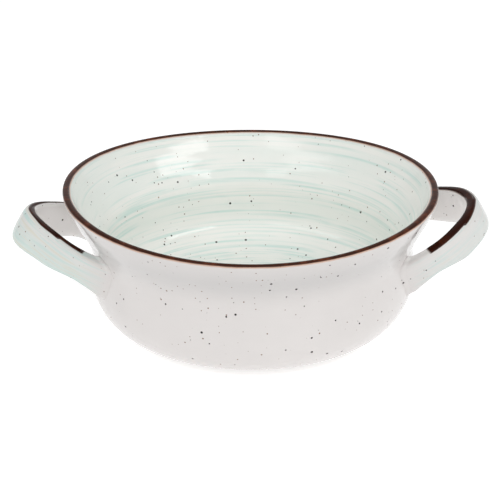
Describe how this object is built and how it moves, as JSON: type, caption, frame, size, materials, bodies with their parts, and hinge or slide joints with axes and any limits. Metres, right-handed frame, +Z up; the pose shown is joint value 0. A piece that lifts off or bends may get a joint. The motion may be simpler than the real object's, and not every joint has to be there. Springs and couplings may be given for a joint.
{
  "type": "lug soup bowl",
  "caption": "Round glazed stoneware soup bowl with a flared waving rim, strap loop handles on the sides and a low foot ring; holds soup and is lifted by the handles.",
  "frame": {"origin": "centre of the foot ring on the table plane", "axes": "+Z up, +X through the right-hand handle, -Y towards the viewer of the picture"},
  "size_m": [0.1924, 0.1482, 0.0595],
  "materials": {
    "bowl_glaze": "gloss, turquoise banding inside, fine brown speckle",
    "handle_glaze": "gloss, turquoise strokes along the strap",
    "slip_glaze": "gloss",
    "brown_edge_glaze": "gloss, dark brown"
  },
  "bodies": {
    "root": {"bowl_body": "bowl_glaze", "rim_glaze_line": "brown_edge_glaze", "left_handle": "handle_glaze", "left_handle_slip": "slip_glaze", "left_handle_glaze_line": "brown_edge_glaze", "right_handle": "handle_glaze", "right_handle_slip": "slip_glaze", "right_handle_glaze_line": "brown_edge_glaze"}
  },
  "joints": []
}
